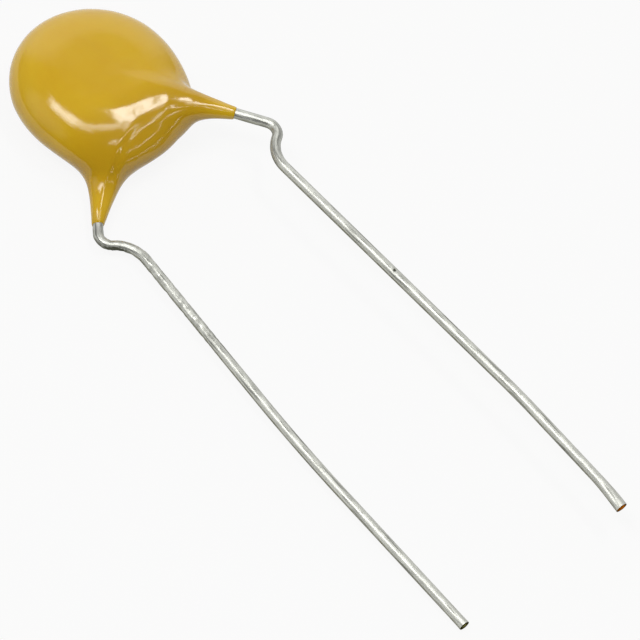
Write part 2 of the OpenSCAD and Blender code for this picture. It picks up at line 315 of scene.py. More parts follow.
def draw_globe_ray(t, limit, even_share, crowding):
    """Field that sends a vertex of a unit sphere to its ray from the disc's middle."""
    place = add(t, SEPARATE, [add(t, "GeometryNodeInputPosition")]).outputs
    # Share of the way from pole to pole, then a ring number that crowds the middle
    level = add(t, MATH, [place["Z"]], operation="ARCCOSINE")
    level = add(t, MATH, [level, -2 / math.pi, 1.0], **TIMES_PLUS)
    cubed = add(t, MATH, [level, 3.0], operation="POWER")
    crowded = add(t, MATH, [cubed, (1 - even_share) * limit], **TIMES)
    s = add(t, MATH, [level, even_share * limit, crowded], **TIMES_PLUS)
    rise = add(t, MATH, [s], operation="TANH")
    girth = add(t, MATH, [1.0, add(t, MATH, [s], operation="COSH")], **PARTS)
    # Angle round the globe, crowded towards the side away from the leads
    even = add(t, MATH, [place["Y"], place["X"]], operation="ARCTAN2")
    half = add(t, MATH, [even, 0.5], **TIMES)
    tan = add(t, MATH, [half], operation="TANGENT")
    wide = add(t, MATH, [tan, crowding], **TIMES)
    turn = add(t, MATH, [add(t, MATH, [wide], operation="ARCTANGENT"), 2.0], **TIMES)
    down = add(t, MATH, [girth, add(t, MATH, [turn], operation="COSINE")], **TIMES)
    across = add(t, MATH, [girth, add(t, MATH, [turn], operation="SINE")], **TIMES)
    # Squeeze the globe towards the leads
    nearer = add(t, MATH, [down, SQUEEZE, 1.0], **TIMES_PLUS)
    ray = add(t, VECTOR, {0: globe_axis, "Scale": rise}, operation="SCALE")
    side_ray = add(t, VECTOR, {0: globe_side, "Scale": across}, operation="SCALE")
    ray = add(t, VECTOR, [ray, side_ray], operation="ADD")
    shrink = add(t, MATH, [1 / STRETCH, nearer], **PARTS)
    ray = add(t, VECTOR, {0: ray, "Scale": shrink}, operation="SCALE")
    lean = add(t, MATH, [down, SQUEEZE], operation="ADD")
    lean = add(t, MATH, [lean, nearer], **PARTS)
    down_ray = add(t, VECTOR, {0: globe_down, "Scale": lean}, operation="SCALE")
    return add(t, VECTOR, [ray, down_ray], operation="ADD")


print("ends of the horns in mm:", [[round(v, 2) for v in end] for end in ends])

# %% [markdown]
# Each point of the globe then slides along its ray by halving steps, outwards while it is
# inside the epoxy and inwards while it is outside, until it sits on the surface. The halving
# is a Repeat Zone. Volume to Mesh would find the same surface, but with far more faces and
# with steps on the thin horns.

# %% Slide the globe's points onto the coating
coat_tree = bpy.data.node_groups.new("Dipped coating", "GeometryNodeTree")
interface(coat_tree, {
    "Geometry": bool, "Points round": int, "Rings": int, "Nearest": float,
    "Farthest": float, "Halvings": int, **dict.fromkeys(COAT_SIZES, float), "Finish": str,
}, {"Geometry": bool})


def draw_coat_tree(t):
    given = add(t, "NodeGroupInput").outputs
    globe = add(t, "GeometryNodeMeshUVSphere",
                [given["Points round"], given["Rings"], 1.0])
    ray = draw_globe_ray(t, limit=5.5, even_share=0.42, crowding=1.5)
    start = add(t, MATH, [given["Nearest"], given["Farthest"]], operation="ADD")
    start = add(t, MATH, [start, 0.5], **TIMES)
    ray = add(t, VECTOR, [ray], operation="NORMALIZE")
    place = add(t, VECTOR, {0: ray, "Scale": start}, operation="SCALE")
    spread = add(t, "GeometryNodeSetPosition", {"Geometry": globe, "Position": place})
    span = add(t, MATH, [given["Farthest"], given["Nearest"]], **MINUS)
    first = add(t, MATH, [span, 0.25], **TIMES)
    # Repeat Zone: each pass moves every point one step in or out, and halves the step
    enter = add(t, "GeometryNodeRepeatInput")
    leave = add(t, "GeometryNodeRepeatOutput")
    enter.pair_with_output(leave)
    leave.repeat_items.new("FLOAT", "Step")
    t.links.new(given["Halvings"], enter.inputs["Iterations"])
    t.links.new(spread.outputs[0], enter.inputs["Geometry"])
    t.links.new(first.outputs[0], enter.inputs["Step"])
    here = add(t, "GeometryNodeInputPosition")
    depth = add(t, "GeometryNodeGroup",
                {"Point": here, **{name: given[name] for name in COAT_SIZES}},
                node_tree=coat_rule)
    inwards = add(t, MATH, [depth], operation="SIGN")
    move = add(t, MATH, [inwards, enter.outputs["Step"]], **TIMES)
    move = add(t, MATH, [move, -1.0], **TIMES)
    heading = add(t, VECTOR, [here], operation="NORMALIZE")
    offset = add(t, VECTOR, {0: heading, "Scale": move}, operation="SCALE")
    moved = add(t, "GeometryNodeSetPosition",
                {"Geometry": enter.outputs["Geometry"], "Offset": offset})
    halved = add(t, MATH, [enter.outputs["Step"], 0.5], **TIMES)
    t.links.new(moved.outputs[0], leave.inputs["Geometry"])
    t.links.new(halved.outputs[0], leave.inputs["Step"])
    smooth = add(t, "GeometryNodeSetShadeSmooth", [leave.outputs["Geometry"]])
    real = add(t, "GeometryNodeRealizeInstances", [smooth])
    done = add(t, "GeometryNodeSetMaterial",
               {"Geometry": real, "Material": given["Finish"]})
    add(t, "NodeGroupOutput", [done])


draw_coat_tree(coat_tree)
print("coating tree:", len(coat_tree.nodes), "nodes")

# %% [markdown]
# A tree is run on a plain carrier mesh: its inputs are set by their identifiers, the result
# is turned into a mesh of its own, and the carrier goes. The mesh is then carried from the
# disc's frame in millimetres to the row's frame in metres, so its object can sit at the
# origin as a CAD node does.

# %% Run a tree into a plain mesh
def grown(name, tree, carrier_mesh, values):
    carrier = bpy.data.objects.new(name + "_carrier", carrier_mesh)
    bpy.context.scene.collection.objects.link(carrier)
    modifier = carrier.modifiers.new("grow", "NODES")
    modifier.node_group = tree
    for item in tree.interface.items_tree:
        if item.item_type == "SOCKET" and item.in_out == "INPUT" and item.name in values:
            modifier[item.identifier] = values[item.name]
    graph = bpy.context.evaluated_depsgraph_get()
    mesh = bpy.data.meshes.new_from_object(carrier.evaluated_get(graph))
    bpy.data.objects.remove(carrier)
    mesh.name = name
    mesh.transform(to_row)
    piece = bpy.data.objects.new(name, mesh)
    bpy.context.scene.collection.objects.link(piece)
    print(name + ":", len(mesh.vertices), "points,", round(volume_mm3(mesh), 2), "mm3,",
          [m.name for m in mesh.materials if m])
    return piece


def volume_mm3(mesh):
    mesh.calc_loop_triangles()
    total = 0.0
    for tri in mesh.loop_triangles:
        a, b, c = (mesh.vertices[k].co for k in tri.vertices)
        total += a.dot(b.cross(c)) / 6
    return total / MM ** 3


# %% [markdown]
# ## Finish of the coating
# The dip is a filled epoxy in mustard yellow, cured to a gloss. A filled resin is opaque and
# evenly coloured, with slow drifts where the pigment settled. A deeper tone towards the lower
# rim and the web is painted shade. Its surface is smooth glass to the touch, with the faintest
# orange peel, so its reflections stay sharp and only their edges wander. Epoxy's IOR is about
# 1.55.
# A clear coat over a flat colour would give two highlights, where the real dip shows one, so
# this is a single glossy layer with a trace of light that sinks in.

# %% Mustard epoxy
def finish(name, draw, **values):
    """A material whose shader is drawn by one function."""
    material = bpy.data.materials.new(name)
    material.use_nodes = True
    t = material.node_tree
    t.nodes.clear()
    add(t, "ShaderNodeOutputMaterial", [draw(t, **values)])
    return material


def draw_mustard_epoxy(t):
    place = add(t, "ShaderNodeTexCoord").outputs["Object"]
    # Drifts of pigment, about 3 mm across
    drift = add(t, NOISE, {"Vector": place, "Scale": 1 / (3 * MM), "Detail": 2.0,
                "Roughness": 0.5, "Distortion": 0.6})
    colour = add(t, "ShaderNodeValToRGB", {0: drift.outputs[0]})
    ramp = colour.color_ramp.elements
    ramp[0].position, ramp[0].color = 0.35, tone("#cea41a")
    ramp[1].position, ramp[1].color = 0.68, tone("#d2aa1e")
    # Painted shade: darker towards the lower rim and the web, fading out before the horns' ends
    from_disc = add(t, VECTOR, [place, (0, REST_Y * MM, 0)], **MINUS)
    from_disc = add(t, VECTOR, [from_disc, (1 / MM, 1 / MM, 0)], **TIMES)
    out = add(t, VECTOR, [from_disc], operation="LENGTH").outputs["Value"]
    down = add(t, SEPARATE, [from_disc]).outputs["Y"]
    low = add(t, RANGE, {"Value": down, "From Min": -1.5, "From Max": -4.2}, **EASED)
    before_end = add(t, RANGE, {"Value": out, "From Min": 7.4, "From Max": 5.6}, **EASED)
    painted_lower_shade = add(t, MATH, [low, before_end], **TIMES)
    colour = add(t, "ShaderNodeMix", {0: painted_lower_shade, 6: colour, 7: tone("#c29818")},
                 data_type="RGBA").outputs[2]
    # Orange peel, about 0.5 mm across
    peel = add(t, NOISE, {"Vector": place, "Scale": 1 / (0.5 * MM), "Detail": 1.0})
    bump = add(t, "ShaderNodeBump", {"Height": peel.outputs[0], "Strength": 0.3,
               "Distance": 0.02 * MM})
    gloss = add(t, RANGE, {"Value": drift.outputs[0], "To Min": 0.09, "To Max": 0.15})
    return add(t, "ShaderNodeBsdfPrincipled", {
        "Base Color": colour, "Roughness": gloss, "Normal": bump,
        "IOR": 1.55, "Subsurface Weight": 0.12, "Subsurface Scale": 0.3 * MM,
        "Subsurface Radius": (1.0, 0.6, 0.2)})


epoxy = finish("Mustard filled epoxy, dipped and cured to a gloss", draw_mustard_epoxy)
carrier = bpy.data.meshes.new("coating_carrier")
coating = grown("dipped_epoxy_coating", coat_tree, carrier, {
    "Points round": 160, "Rings": 220, "Nearest": 0.8, "Farthest": 10.0, "Halvings": 22,
    **COAT_SIZES, "Finish": epoxy})

# %% [markdown]
# ## The formed wires
# Each lead is a tinned copper wire that was bent round pins: out along its horn, round the
# outer bend of the kink, back in to the seat, and then down with a slight splay that is
# eased out into a straight end. Its centre line is plain geometry, runs and arcs, so a short
# function lists its points.

# %% The centre line of a lead
PITCH_MM, SEAT_R, KINK_R = 9.08, 1.95, 0.75
KINK_LEAN, KINK_STRAIGHT = math.radians(54.5), 0.15
SPLAY = [math.radians(3.7), math.radians(2.8)]
EASE_R, LEAD_REACH, STRAIGHT_END = [120.0, 60.0], 38.1, [10.0, 7.0]
RUN_IN = 1.0
STEP = 0.08


def straight(a, b):
    count = max(2, round((b - a).length / STEP))
    return [a.lerp(b, k / count) for k in range(count)]


def arc(centre, radius, start, end):
    count = max(6, round(radius * abs(end - start) / STEP))
    turns = [start + (end - start) * k / count for k in range(count)]
    return [centre + radius * Vector((math.cos(a), math.sin(a))) for a in turns]


def centre_line(i):
    """Points [outwards, towards the tips] of lead i, in millimetres."""
    seat_u = PITCH_MM / 2 + SEAT_R
    kink_u = (seat_u - (SEAT_R + KINK_R) * math.cos(KINK_LEAN)
              + KINK_STRAIGHT * math.sin(KINK_LEAN))
    out_u = kink_u + KINK_R * math.cos(EXIT[i])
    heading = Vector((math.sin(EXIT[i]), math.cos(EXIT[i])))
    kink = Vector((kink_u, out_u / math.tan(EXIT[i]) + KINK_R * math.sin(EXIT[i])))
    seat = kink + Vector((seat_u - kink_u, (KINK_R + SEAT_R) * math.sin(KINK_LEAN)
                          + KINK_STRAIGHT * math.cos(KINK_LEAN)))
    splay = Vector((math.sin(SPLAY[i]), math.cos(SPLAY[i])))
    spread = seat + SEAT_R * Vector((-math.cos(SPLAY[i]), math.sin(SPLAY[i])))
    eased_v = LEAD_REACH - STRAIGHT_END[i] - EASE_R[i] * math.sin(SPLAY[i])
    eased = spread + (eased_v - spread.y) / math.cos(SPLAY[i]) * splay
    ease = eased + EASE_R[i] * Vector((-math.cos(SPLAY[i]), math.sin(SPLAY[i])))
    tip_u = ease.x + EASE_R[i]
    lean = Vector((math.cos(KINK_LEAN), math.sin(KINK_LEAN)))
    points = straight(-RUN_IN * heading, out_u / math.sin(EXIT[i]) * heading)
    points += arc(kink, KINK_R, -EXIT[i], KINK_LEAN)
    points += straight(kink + KINK_R * lean, seat - SEAT_R * lean)
    points += arc(seat, SEAT_R, math.pi + KINK_LEAN, math.pi - SPLAY[i])
    points += straight(spread, eased)
    points += arc(ease, EASE_R[i], -SPLAY[i], 0)
    points += straight(Vector((tip_u, LEAD_REACH - STRAIGHT_END[i])),
                       Vector((tip_u, LEAD_REACH)))
    points.append(Vector((tip_u, LEAD_REACH)))
    return [Vector((SIDE[i] * p.x, -p.y, SIDE[i] * LEAD_Z)) for p in points]


lead_lines = [centre_line(i) for i in (0, 1)]
print("points along the leads:", [len(points) for points in lead_lines])

# %% [markdown]
# A curve with a round bevel would give the same tube in one step, but its ends couldn't be
# pinched and nothing would follow the wire. Geometry Nodes sweep a circle along the line
# instead, and keep on the mesh where each point would be if the wire were unrolled straight.
# Drawn lines, scuffs and dents then follow the wire round its bends.

# %% Sweep the wire and unroll its places
def draw_sweep(t, given):
    line = add(t, "GeometryNodeMeshToCurve", [given["Geometry"]])
    line = add(t, "GeometryNodeSetCurveNormal", [line], mode="Z_UP")
    far = add(t, "GeometryNodeSplineParameter").outputs["Length"]
    line = add(t, STORE, {"Geometry": line, "Name": "wire_far", "Value": far},
               data_type="FLOAT")
    middle = add(t, "GeometryNodeInputPosition")
    line = add(t, STORE, {"Geometry": line, "Name": "wire_middle", "Value": middle},
               data_type="FLOAT_VECTOR")
    ring = add(t, "GeometryNodeCurvePrimitiveCircle",
               {"Resolution": given["Points round"], "Radius": given["Wire radius"]})
    round_place = add(t, "GeometryNodeInputPosition")
    ring = add(t, STORE, {"Geometry": ring, "Name": "wire_round", "Value": round_place},
               data_type="FLOAT_VECTOR")
    swept = add(t, "GeometryNodeCurveToMesh",
                {"Curve": line, "Profile Curve": ring, "Fill Caps": True})
    # The place on the straightened wire: round the section, and along it, in millimetres
    far = add(t, RECALL, {"Name": "wire_far"}, data_type="FLOAT")
    flat = add(t, RECALL, {"Name": "wire_round"}, data_type="FLOAT_VECTOR")
    flat = add(t, SEPARATE, [flat]).outputs
    unrolled = add(t, COMBINE, [flat["X"], flat["Y"], far])
    swept = add(t, STORE, {"Geometry": swept, "Name": "wire_place", "Value": unrolled},
                data_type="FLOAT_VECTOR")
    return swept, far, unrolled


print("places kept on the wire: wire_far, wire_middle, wire_round and wire_place")

# %% [markdown]
# The forming tool's jaws held each wire just past its kink and left shallow dents there, and
# one deeper, ragged scar at the left kink, where a jaw slipped. The right wire has a single
# small nick instead. Noise on the unrolled place gives both, faded in and out along the wire.

# %% Dents and scars
GRIP_EASE_IN, GRIP_EASE_OUT = 0.8, -1.5
DENTS_PER_MM, RAGS_PER_MM = 3.2, 6.0
SCAR_FLANK = -0.15


def draw_dents(t, given, far, unrolled):
    grip = add(t, RANGE, {"Value": far, "From Min": given["Grip from"], "From Max":
               add(t, MATH, [given["Grip from"], GRIP_EASE_IN], operation="ADD")}, **EASED)
    ungrip = add(t, RANGE, {"Value": far, "From Min": given["Grip to"], "From Max":
                 add(t, MATH, [given["Grip to"], GRIP_EASE_OUT], operation="ADD")}, **EASED)
    gripped = add(t, MATH, [grip, ungrip], **TIMES)
    dents = add(t, NOISE, {"Vector": unrolled, "Scale": DENTS_PER_MM, "Detail": 2.0,
                "Roughness": 0.55})
    dent = add(t, RANGE, {"Value": dents.outputs[0], "From Min": 0.45, "From Max": 0.75})
    return gripped, add(t, MATH, [dent, gripped], **TIMES)


def draw_scar(t, given, far, unrolled):
    off = add(t, MATH, [far, given["Scar at"]], **MINUS)
    near_scar = add(t, RANGE, {"Value": add(t, MATH, [off], operation="ABSOLUTE"),
                    "From Min": given["Scar length"], "From Max": 0.0}, **EASED)
    around = add(t, VECTOR, [unrolled, (1, 1, 0)], **TIMES)
    around = add(t, VECTOR, [around], operation="NORMALIZE")
    facing = add(t, VECTOR, [around, given["Scar side"]], **DOT)
    widest = add(t, MATH, [1.0, given["Scar spread"]], **MINUS)
    deepest = add(t, MATH, [given["Scar spread"], SCAR_FLANK, 1.0], **TIMES_PLUS)
    on_side = add(t, RANGE, {"Value": facing.outputs["Value"], "From Min": widest,
                  "From Max": deepest}, **EASED)
    ragged = add(t, NOISE, {"Vector": unrolled, "Scale": RAGS_PER_MM, "Detail": 3.0})
    ragged = add(t, RANGE, {"Value": ragged.outputs[0], "From Min": 0.38,
                 "From Max": 0.54, "To Min": 0.35})
    scar = add(t, MATH, [near_scar, on_side], **TIMES)
    return add(t, MATH, [scar, ragged], **TIMES)


print("dents about", round(1 / DENTS_PER_MM, 2), "mm across")

# %% [markdown]
# The cutter pinched each end a little wider and flatter than the rest, dragged the right one
# inwards and drew both out by a hair. The mesh is scaled about the wire's middle and shifted
# over that last stretch. The dents and the scar push in towards the middle the same way.

# %% Where each point of the wire ends up
def draw_place(t, given, far, dent, scar):
    dent = add(t, MATH, [dent, given["Grip depth"]], **TIMES)
    gouge = add(t, MATH, [scar, given["Scar depth"]], **TIMES)
    shrink = add(t, MATH, [1.0, add(t, MATH, [dent, gouge], operation="ADD")], **MINUS)
    left = add(t, MATH, [given["Length"], far], **MINUS)
    last = {"Value": left, "From Min": given["Pinch length"], "From Max": 0.0}
    pinch = add(t, RANGE, last, **EASED)
    onward = add(t, MATH, [add(t, RANGE, last), 2.0], operation="POWER")
    wide = add(t, MATH, [pinch, given["Pinch width"], 1.0], **TIMES_PLUS)
    high = add(t, MATH, [pinch, given["Pinch height"], 1.0], **TIMES_PLUS)
    scale = add(t, COMBINE, [wide, wide, high])
    middle = add(t, RECALL, {"Name": "wire_middle"}, data_type="FLOAT_VECTOR")
    here = add(t, "GeometryNodeInputPosition")
    arm = add(t, VECTOR, [here, middle], **MINUS)
    arm = add(t, VECTOR, {0: arm, "Scale": shrink}, operation="SCALE")
    arm = add(t, VECTOR, [arm, scale], **TIMES)
    place = add(t, VECTOR, [middle, arm], operation="ADD")
    shift = add(t, COMBINE, [given["Tip shift"], given["Tip stretch"], 0.0])
    shift = add(t, VECTOR, {0: shift, "Scale": onward}, operation="SCALE")
    return add(t, VECTOR, [place, shift], operation="ADD")


# Wear of the left and the right wire, in millimetres along it and shares of its radius
WEAR = [
    {"Grip from": 9.0, "Grip to": 21.0, "Grip depth": 0.1, "Scar at": 11.45,
     "Scar length": 1.35, "Scar side": (0.99, 0.12, 0), "Scar spread": 0.55,
     "Scar depth": 0.22, "Pinch length": 0.6, "Pinch width": 0.05, "Pinch height": -0.05,
     "Tip shift": 0.0, "Tip stretch": -0.05},
    {"Grip from": 9.8, "Grip to": 13.5, "Grip depth": 0.05, "Scar at": 22.83,
     "Scar length": 0.15, "Scar side": (0, -1, 0), "Scar spread": 0.07,
     "Scar depth": 0.1, "Pinch length": 2.2, "Pinch width": 0.22, "Pinch height": -0.12,
     "Tip shift": -0.15, "Tip stretch": -0.25}]
print("marks on each wire:", ", ".join(WEAR[0]))

# %% [markdown]
# The tree ties these together. It also keeps the wear on the mesh as three named attributes,
# which the finish reads. The cut faces are the only ones with more than four corners, so
# they can be picked out and given their own finish.

# %% The whole wire
wire_tree = bpy.data.node_groups.new("Formed wire", "GeometryNodeTree")
interface(wire_tree, {
    "Geometry": bool, "Wire radius": float, "Points round": int, "Length": float,
    **dict.fromkeys(WEAR[0], float), "Scar side": Vector, "Tin": str, "Cut copper": str,
}, {"Geometry": bool})
SHARP = 0.7


def draw_wire_tree(t):
    given = add(t, "NodeGroupInput").outputs
    swept, far, unrolled = draw_sweep(t, given)
    gripped, dent = draw_dents(t, given, far, unrolled)
    scar = draw_scar(t, given, far, unrolled)
    for mark, value in (("wire_grip", gripped), ("wire_dent", dent), ("wire_scar", scar)):
        swept = add(t, STORE, {"Geometry": swept, "Name": mark, "Value": value},
                    data_type="FLOAT")
    place = draw_place(t, given, far, dent, scar)
    shaped = add(t, "GeometryNodeSetPosition", {"Geometry": swept, "Position": place})
    corners = add(t, "GeometryNodeInputMeshFaceNeighbors").outputs["Vertex Count"]
    is_cut = add(t, "FunctionNodeCompare", {"A": corners, "B": 4},
                 data_type="INT", operation="GREATER_THAN")
    smooth = add(t, "GeometryNodeSetShadeSmooth", [shaped, None, True])
    bend = add(t, "GeometryNodeInputMeshEdgeAngle").outputs["Unsigned Angle"]
    is_edge = add(t, MATH, [bend, SHARP], operation="GREATER_THAN")
    smooth = add(t, "GeometryNodeSetShadeSmooth", [smooth, is_edge, False], domain="EDGE")
    real = add(t, "GeometryNodeRealizeInstances", [smooth])
    tinned = add(t, "GeometryNodeSetMaterial", {"Geometry": real, "Material": given["Tin"]})
    cut = add(t, "GeometryNodeSetMaterial", {"Geometry": tinned, "Selection": is_cut,
              "Material": given["Cut copper"]})
    add(t, "NodeGroupOutput", [cut])


draw_wire_tree(wire_tree)
print("wire tree:", len(wire_tree.nodes), "nodes")

# %% [markdown]
# ## Finish of the wires
# The wire is copper, drawn through a die and dipped in molten tin. Drawing leaves fine lines
# along it, and the tin freezes to a satin that is duller where fingers and tools have been.
# A metal's colour comes from its reflections, so the noise goes mostly into roughness and
# bump. Old tin wears a film of oxide, which is why it is less than fully metallic here and
# its edges don't flash white. An olive stripe along one side of the wire is painted shade.

# %% Tinned copper
def wire_noise(t, place, per_mm, detail, roughness):
    """Noise on the unrolled wire, as fine round it and along it as per_mm says."""
    noise_at = add(t, "ShaderNodeMapping", {"Vector": place, "Scale": per_mm})
    return add(t, NOISE, {"Vector": noise_at, "Scale": 1.0, "Detail": detail,
               "Roughness": roughness}).outputs[0]


def draw_tinned_copper(t):
    place = add(t, "ShaderNodeAttribute", attribute_name="wire_place").outputs["Vector"]
    # Drawn lines, several millimetres long, drawn coarse at 0.1 mm apart
    lines = wire_noise(t, place, (10, 10, 0.25), detail=2.0, roughness=0.5)
    # Scuffs and dull patches about 0.5 mm across
    patch = wire_noise(t, place, (2.6, 2.6, 1.3), detail=2.0, roughness=0.55)
    mixed = add(t, MATH, [lines, 0.5, add(t, MATH, [patch, 0.5], **TIMES)], **TIMES_PLUS)
    colour = add(t, "ShaderNodeValToRGB", {0: mixed})
    ramp = colour.color_ramp.elements
    ramp[0].position, ramp[0].color = 0.36, tone("#c4c5bd")
    ramp[1].position, ramp[1].color = 0.62, tone("#e6e7df")
    # Painted shade: darker in the dents and the scar, as shade in these hollows
    dent = add(t, "ShaderNodeAttribute", attribute_name="wire_dent").outputs["Fac"]
    scar = add(t, "ShaderNodeAttribute", attribute_name="wire_scar").outputs["Fac"]
    painted_hollow_shade = add(t, MATH, [dent, 0.3], **TIMES)
    painted_hollow_shade = add(t, MATH, [scar, 1.6, painted_hollow_shade], **TIMES_PLUS, use_clamp=True)
    # Painted shade: an olive stripe along one side of the wire, stronger in some places than in
    # others
    flat = add(t, VECTOR, [place, (1, 1, 0)], **TIMES)
    flat = add(t, VECTOR, [flat], operation="NORMALIZE")
    facing = add(t, VECTOR, [flat, (0.966, 0.259, 0)], **DOT)
    painted_side_shade = add(t, RANGE, {"Value": facing.outputs["Value"], "From Min": 0.72,
                 "From Max": 0.96}, **EASED)
    amount = add(t, RANGE, {"Value": patch, "From Min": 0.4, "From Max": 0.6,
                 "To Min": 0.65, "To Max": 1.0})
    painted_side_shade = add(t, MATH, [painted_side_shade, amount], **TIMES)
    # A few dark scratches along the wire, drawn coarse at 0.1 mm wide
    scratch = wire_noise(t, place, (7, 7, 0.5), detail=1.0, roughness=0.6)
    scratch = add(t, RANGE, {"Value": scratch, "From Min": 0.56, "From Max": 0.66,
                  "To Max": 0.6})
    for amount, shade in ((painted_side_shade, "#868674"), (scratch, "#6c6d66"), (painted_hollow_shade, "#4c4d42")):
        colour = add(t, "ShaderNodeMix", {0: amount, 6: colour, 7: tone(shade)},
                     data_type="RGBA").outputs[2]
    rough = add(t, RANGE, {"Value": patch, "From Min": 0.35, "From Max": 0.65,
                "To Min": 0.34, "To Max": 0.48})
    # The gripped stretch is scuffed, the rest is nearly as smooth as it was drawn
    grip = add(t, "ShaderNodeAttribute", attribute_name="wire_grip").outputs["Fac"]
    scuff = add(t, MATH, [grip, 0.5, 0.1], **TIMES_PLUS)
    bump = add(t, "ShaderNodeBump", {"Height": mixed, "Strength": scuff,
               "Distance": 0.02 * MM})
    return add(t, "ShaderNodeBsdfPrincipled", {
        "Base Color": colour, "Roughness": rough, "Normal": bump, "Metallic": 0.84,
        "Specular Tint": tone("#909090")})


tin = finish("Tinned copper wire, drawn and hot dipped", draw_tinned_copper)
print("finish of the wires:", tin.name)

# %% [markdown]
# The cutter sheared through the tin into copper. Both ends are copper, but the left end is
# painted in shade: a dull olive core in a dark ring that covers most of it. The right end is
# bare copper in a dark ring round its edge. One function makes both, from the colours of the
# core and how far in the dark ring comes.

# %% Cut copper
def draw_cut_copper(t, dark, light, glint, smear_from, smear_to):
    place = add(t, "ShaderNodeAttribute", attribute_name="wire_place").outputs["Vector"]
    # Shear marks about 0.1 mm apart
    marks = wire_noise(t, place, (9, 3, 1), detail=3.0, roughness=0.5)
    core = add(t, "ShaderNodeValToRGB", {0: marks})
    ramp = core.color_ramp.elements
    ramp[0].position, ramp[0].color = 0.35, tone(dark)
    ramp[1].position, ramp[1].color = 0.65, tone(light)
    # Darker in a ring round the edge; on the left end this ring is painted shade
    flat = add(t, VECTOR, [place, (1, 1, 0)], **TIMES)
    from_middle = add(t, VECTOR, [flat], operation="LENGTH").outputs["Value"]
    rim = add(t, RANGE, {"Value": from_middle, "From Min": smear_from * WIRE_R,
              "From Max": smear_to * WIRE_R}, **EASED)
    colour = add(t, "ShaderNodeMix", {0: rim, 6: core, 7: tone("#3c3a2c")},
                 data_type="RGBA").outputs[2]
    bump = add(t, "ShaderNodeBump", {"Height": marks, "Strength": 0.6,
               "Distance": 0.03 * MM})
    return add(t, "ShaderNodeBsdfPrincipled", {
        "Base Color": colour, "Roughness": 0.42, "Normal": bump, "Metallic": 1.0,
        "Specular Tint": tone(glint)})


# The left end's olive core and wide dark ring are painted shade
cuts = [finish("Sheared end, copper painted olive and dark as in shade", draw_cut_copper, dark="#6c6c54",
               light="#8a8660", glint="#a0a084", smear_from=0.3, smear_to=0.6),
        finish("Sheared end, bare copper in a dark ring", draw_cut_copper,
               dark="#643408", light="#bc6c20", glint="#e0b890", smear_from=0.5,
               smear_to=0.85)]
print("finishes of the cut ends:", [cut.name for cut in cuts])

# %% [markdown]
# Each centre line becomes a mesh of bare edges, and the tree grows the wire on it.

# %% Grow the two wires
def line_mesh(name, points):
    mesh = bpy.data.meshes.new(name)
    mesh.from_pydata(points, [(k, k + 1) for k in range(len(points) - 1)], [])
    return mesh


def length_of(points):
    return sum((b - a).length for a, b in zip(points, points[1:]))


leads = []
for i, name in enumerate(("left_formed_wire", "right_formed_wire")):
    leads.append(grown(name, wire_tree, line_mesh(name + "_line", lead_lines[i]), {
        "Wire radius": WIRE_R, "Points round": 40, "Length": length_of(lead_lines[i]),
        **WEAR[i], "Tin": tin, "Cut copper": cuts[i]}))
print("lengths of the wires in mm:", [round(length_of(line), 2) for line in lead_lines])

# %% [markdown]
# ## Inside the coating
# The ceramic, its silver electrodes and the solder are sealed in and can't be seen, but the
# part may be cut open by someone who uses it, so they get honest finishes too. Their CAD
# meshes are right as they are, so only their material slots change.

# %% Ceramic, silver and solder
def draw_grained(t, dark, light, size_mm, spread, relief, roughness, metallic):
    """A matt or satin solid: tones and relief follow grains of one size."""
    place = add(t, "ShaderNodeTexCoord").outputs["Object"]
    grain = add(t, NOISE, {"Vector": place, "Scale": 1 / (size_mm * MM),
                "Detail": 3.0}).outputs[0]
    colour = add(t, "ShaderNodeValToRGB", {0: grain})
    ramp = colour.color_ramp.elements
    ramp[0].position, ramp[0].color = 0.5 - spread, tone(dark)
    ramp[1].position, ramp[1].color = 0.5 + spread, tone(light)
    bump = add(t, "ShaderNodeBump", {"Height": grain, "Strength": relief,
               "Distance": 0.01 * MM})
    return add(t, "ShaderNodeBsdfPrincipled", {"Base Color": colour,
               "Metallic": metallic, "Roughness": roughness, "Normal": bump})


# Pressed powder leaves matt grains, drawn coarse at 0.12 mm, and silver ink a fine tooth
ceramic = finish("Barium titanate ceramic, pressed and fired", draw_grained,
                 dark="#ac9477", light="#bfa88b", size_mm=0.12, spread=0.1, relief=0.3,
                 roughness=0.75, metallic=0.0)
silver = finish("Fired silver electrode", draw_grained, dark="#bdbdb8", light="#d8d8d2",
                size_mm=0.15, spread=0.12, relief=0.4, roughness=0.5, metallic=1.0)
solder = finish("Reflowed solder, satin", draw_grained, dark="#9a9b9e", light="#bcbdbf",
                size_mm=0.4, spread=0.12, relief=0.4, roughness=0.35, metallic=1.0)
for name, material in (("ceramic_disc", ceramic), ("front_electrode", silver),
                       ("rear_electrode", silver), ("front_solder_joint", solder),
                       ("rear_solder_joint", solder)):
    nodes[name].data.materials.clear()
    nodes[name].data.materials.append(material)
    print(name, "is finished in:", material.name)

# %% [markdown]
# ## Riding on the frame
# Each new piece rides on the one body and stands for the CAD solid that it is a finer copy
# of, which is hidden.

# %% Pieces take their places
for piece, node, slot in ((coating, "epoxy_coating", "mustard_epoxy"),
                          (leads[0], "left_lead", "tinned_copper"),
                          (leads[1], "right_lead", "tinned_copper")):
    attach(piece, "root")
    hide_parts(node)
    print(piece.name, "stands for", node)

# %% [markdown]
# ## Floor
# The photograph was taken on plain white. The floor is pale and matt. To a camera ray, and
# to a ray that comes from a gloss or through glass, it also shows some plain white of its
# own, so it reads as white without more light on the object, and the rest of it is lit, so
# it keeps the object's soft shadow.

# %% White table
def is_looked_at(t):
    """1 for a ray that the camera, a reflection or a clear material sends out."""
    path = add(t, "ShaderNodeLightPath").outputs
    seen = add(t, MATH, [path["Is Camera Ray"], path["Is Glossy Ray"]], operation="MAXIMUM")
    return add(t, MATH, [seen, path["Is Transmission Ray"]], operation="MAXIMUM")


